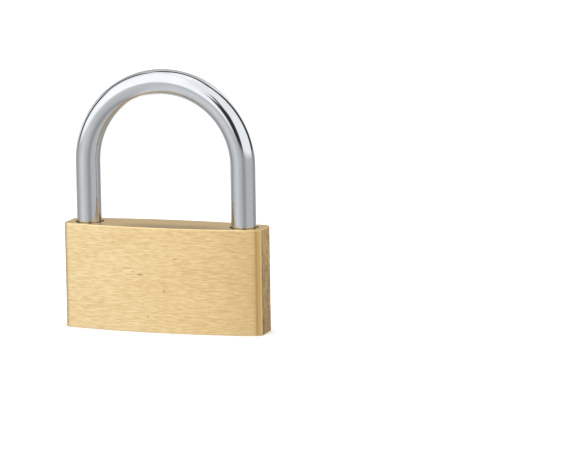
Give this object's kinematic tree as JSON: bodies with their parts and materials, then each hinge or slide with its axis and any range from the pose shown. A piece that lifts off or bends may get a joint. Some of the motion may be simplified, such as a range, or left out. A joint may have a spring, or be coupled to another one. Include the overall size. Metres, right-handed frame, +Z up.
{
  "type": "padlock",
  "caption": "Wide solid-brass padlock with a crowned body, a round chrome-plated steel shackle and a bottom keyway.",
  "frame": {"origin": "centre of the body's flat bottom face, where the keyway is", "axes": "+Z up towards the top of the shackle, +X towards the shackle's toe leg, -Y is the front, +Y the back"},
  "size_m": [0.06, 0.015, 0.075],
  "materials": {
    "body_brass": "brushed along its width",
    "filler_brass": "ground flush",
    "plug_brass": "turned",
    "key_pin_brass": "turned",
    "shackle_chrome": "polished plating over steel",
    "bolt_steel": "turned",
    "pin_steel": "ground",
    "driver_steel": "turned",
    "spring_steel": "drawn wire"
  },
  "bodies": {
    "case": {"lock_body": "body_brass", "bolt_bore_plug": "filler_brass", "chamber_plugs": "filler_brass", "plug_retaining_pin": "pin_steel", "shackle_retaining_pin": "pin_steel", "shackle_spring": "spring_steel", "pin_spring_1": "spring_steel", "pin_spring_2": "spring_steel", "pin_spring_3": "spring_steel", "pin_spring_4": "spring_steel", "pin_spring_5": "spring_steel"},
    "shackle": {"shackle": "shackle_chrome"},
    "core": {"plug": "plug_brass", "cam": "bolt_steel", "drive_pins": "bolt_steel"},
    "heel_bolt": {"heel_bolt": "bolt_steel"},
    "toe_bolt": {"toe_bolt": "bolt_steel"},
    "key_pin_1": {"key_pin_1": "key_pin_brass"},
    "key_pin_2": {"key_pin_2": "key_pin_brass"},
    "key_pin_3": {"key_pin_3": "key_pin_brass"},
    "key_pin_4": {"key_pin_4": "key_pin_brass"},
    "key_pin_5": {"key_pin_5": "key_pin_brass"},
    "driver_pin_1": {"driver_pin_1": "driver_steel"},
    "driver_pin_2": {"driver_pin_2": "driver_steel"},
    "driver_pin_3": {"driver_pin_3": "driver_steel"},
    "driver_pin_4": {"driver_pin_4": "driver_steel"},
    "driver_pin_5": {"driver_pin_5": "driver_steel"}
  },
  "joints": [
    {"name": "shackle_lift", "type": "slide", "parent": "case", "child": "shackle", "axis": [0, 0, 1], "range_m": [0, 0.0105], "deforming": ["shackle_spring"]},
    {"name": "plug_turn", "type": "hinge", "parent": "case", "child": "core", "pos_m": [0, 0, 0], "axis": [0, 0, 1], "range_deg": [-90, 0]},
    {"name": "heel_bolt_slide", "type": "slide", "parent": "case", "child": "heel_bolt", "axis": [-1, 0, 0], "range_m": [0, 0.0026]},
    {"name": "toe_bolt_slide", "type": "slide", "parent": "case", "child": "toe_bolt", "axis": [1, 0, 0], "range_m": [0, 0.0026]},
    {"name": "key_pin_slide_1", "type": "slide", "parent": "core", "child": "key_pin_1", "axis": [0, 1, 0], "range_m": [-0.00145, 0]},
    {"name": "key_pin_slide_2", "type": "slide", "parent": "core", "child": "key_pin_2", "axis": [0, 1, 0], "range_m": [-0.00065, 0]},
    {"name": "key_pin_slide_3", "type": "slide", "parent": "core", "child": "key_pin_3", "axis": [0, 1, 0], "range_m": [-0.00125, 0]},
    {"name": "key_pin_slide_4", "type": "slide", "parent": "core", "child": "key_pin_4", "axis": [0, 1, 0], "range_m": [-0.00025, 0]},
    {"name": "key_pin_slide_5", "type": "slide", "parent": "core", "child": "key_pin_5", "axis": [0, 1, 0], "range_m": [-0.00095, 0]},
    {"name": "driver_pin_slide_1", "type": "slide", "parent": "case", "child": "driver_pin_1", "axis": [1, 0, 0], "range_m": [0, 0.0015], "stiffness_N_per_m": 100, "deforming": ["pin_spring_1"]},
    {"name": "driver_pin_slide_2", "type": "slide", "parent": "case", "child": "driver_pin_2", "axis": [1, 0, 0], "range_m": [0, 0.0015], "stiffness_N_per_m": 100, "deforming": ["pin_spring_2"]},
    {"name": "driver_pin_slide_3", "type": "slide", "parent": "case", "child": "driver_pin_3", "axis": [1, 0, 0], "range_m": [0, 0.0015], "stiffness_N_per_m": 100, "deforming": ["pin_spring_3"]},
    {"name": "driver_pin_slide_4", "type": "slide", "parent": "case", "child": "driver_pin_4", "axis": [1, 0, 0], "range_m": [0, 0.0015], "stiffness_N_per_m": 100, "deforming": ["pin_spring_4"]},
    {"name": "driver_pin_slide_5", "type": "slide", "parent": "case", "child": "driver_pin_5", "axis": [1, 0, 0], "range_m": [0, 0.0015], "stiffness_N_per_m": 100, "deforming": ["pin_spring_5"]}
  ],
  "couplings": [
    {"joint": "heel_bolt_slide", "follows": "plug_turn", "m_per_rad": -0.001655},
    {"joint": "toe_bolt_slide", "follows": "plug_turn", "m_per_rad": -0.001655}
  ]
}
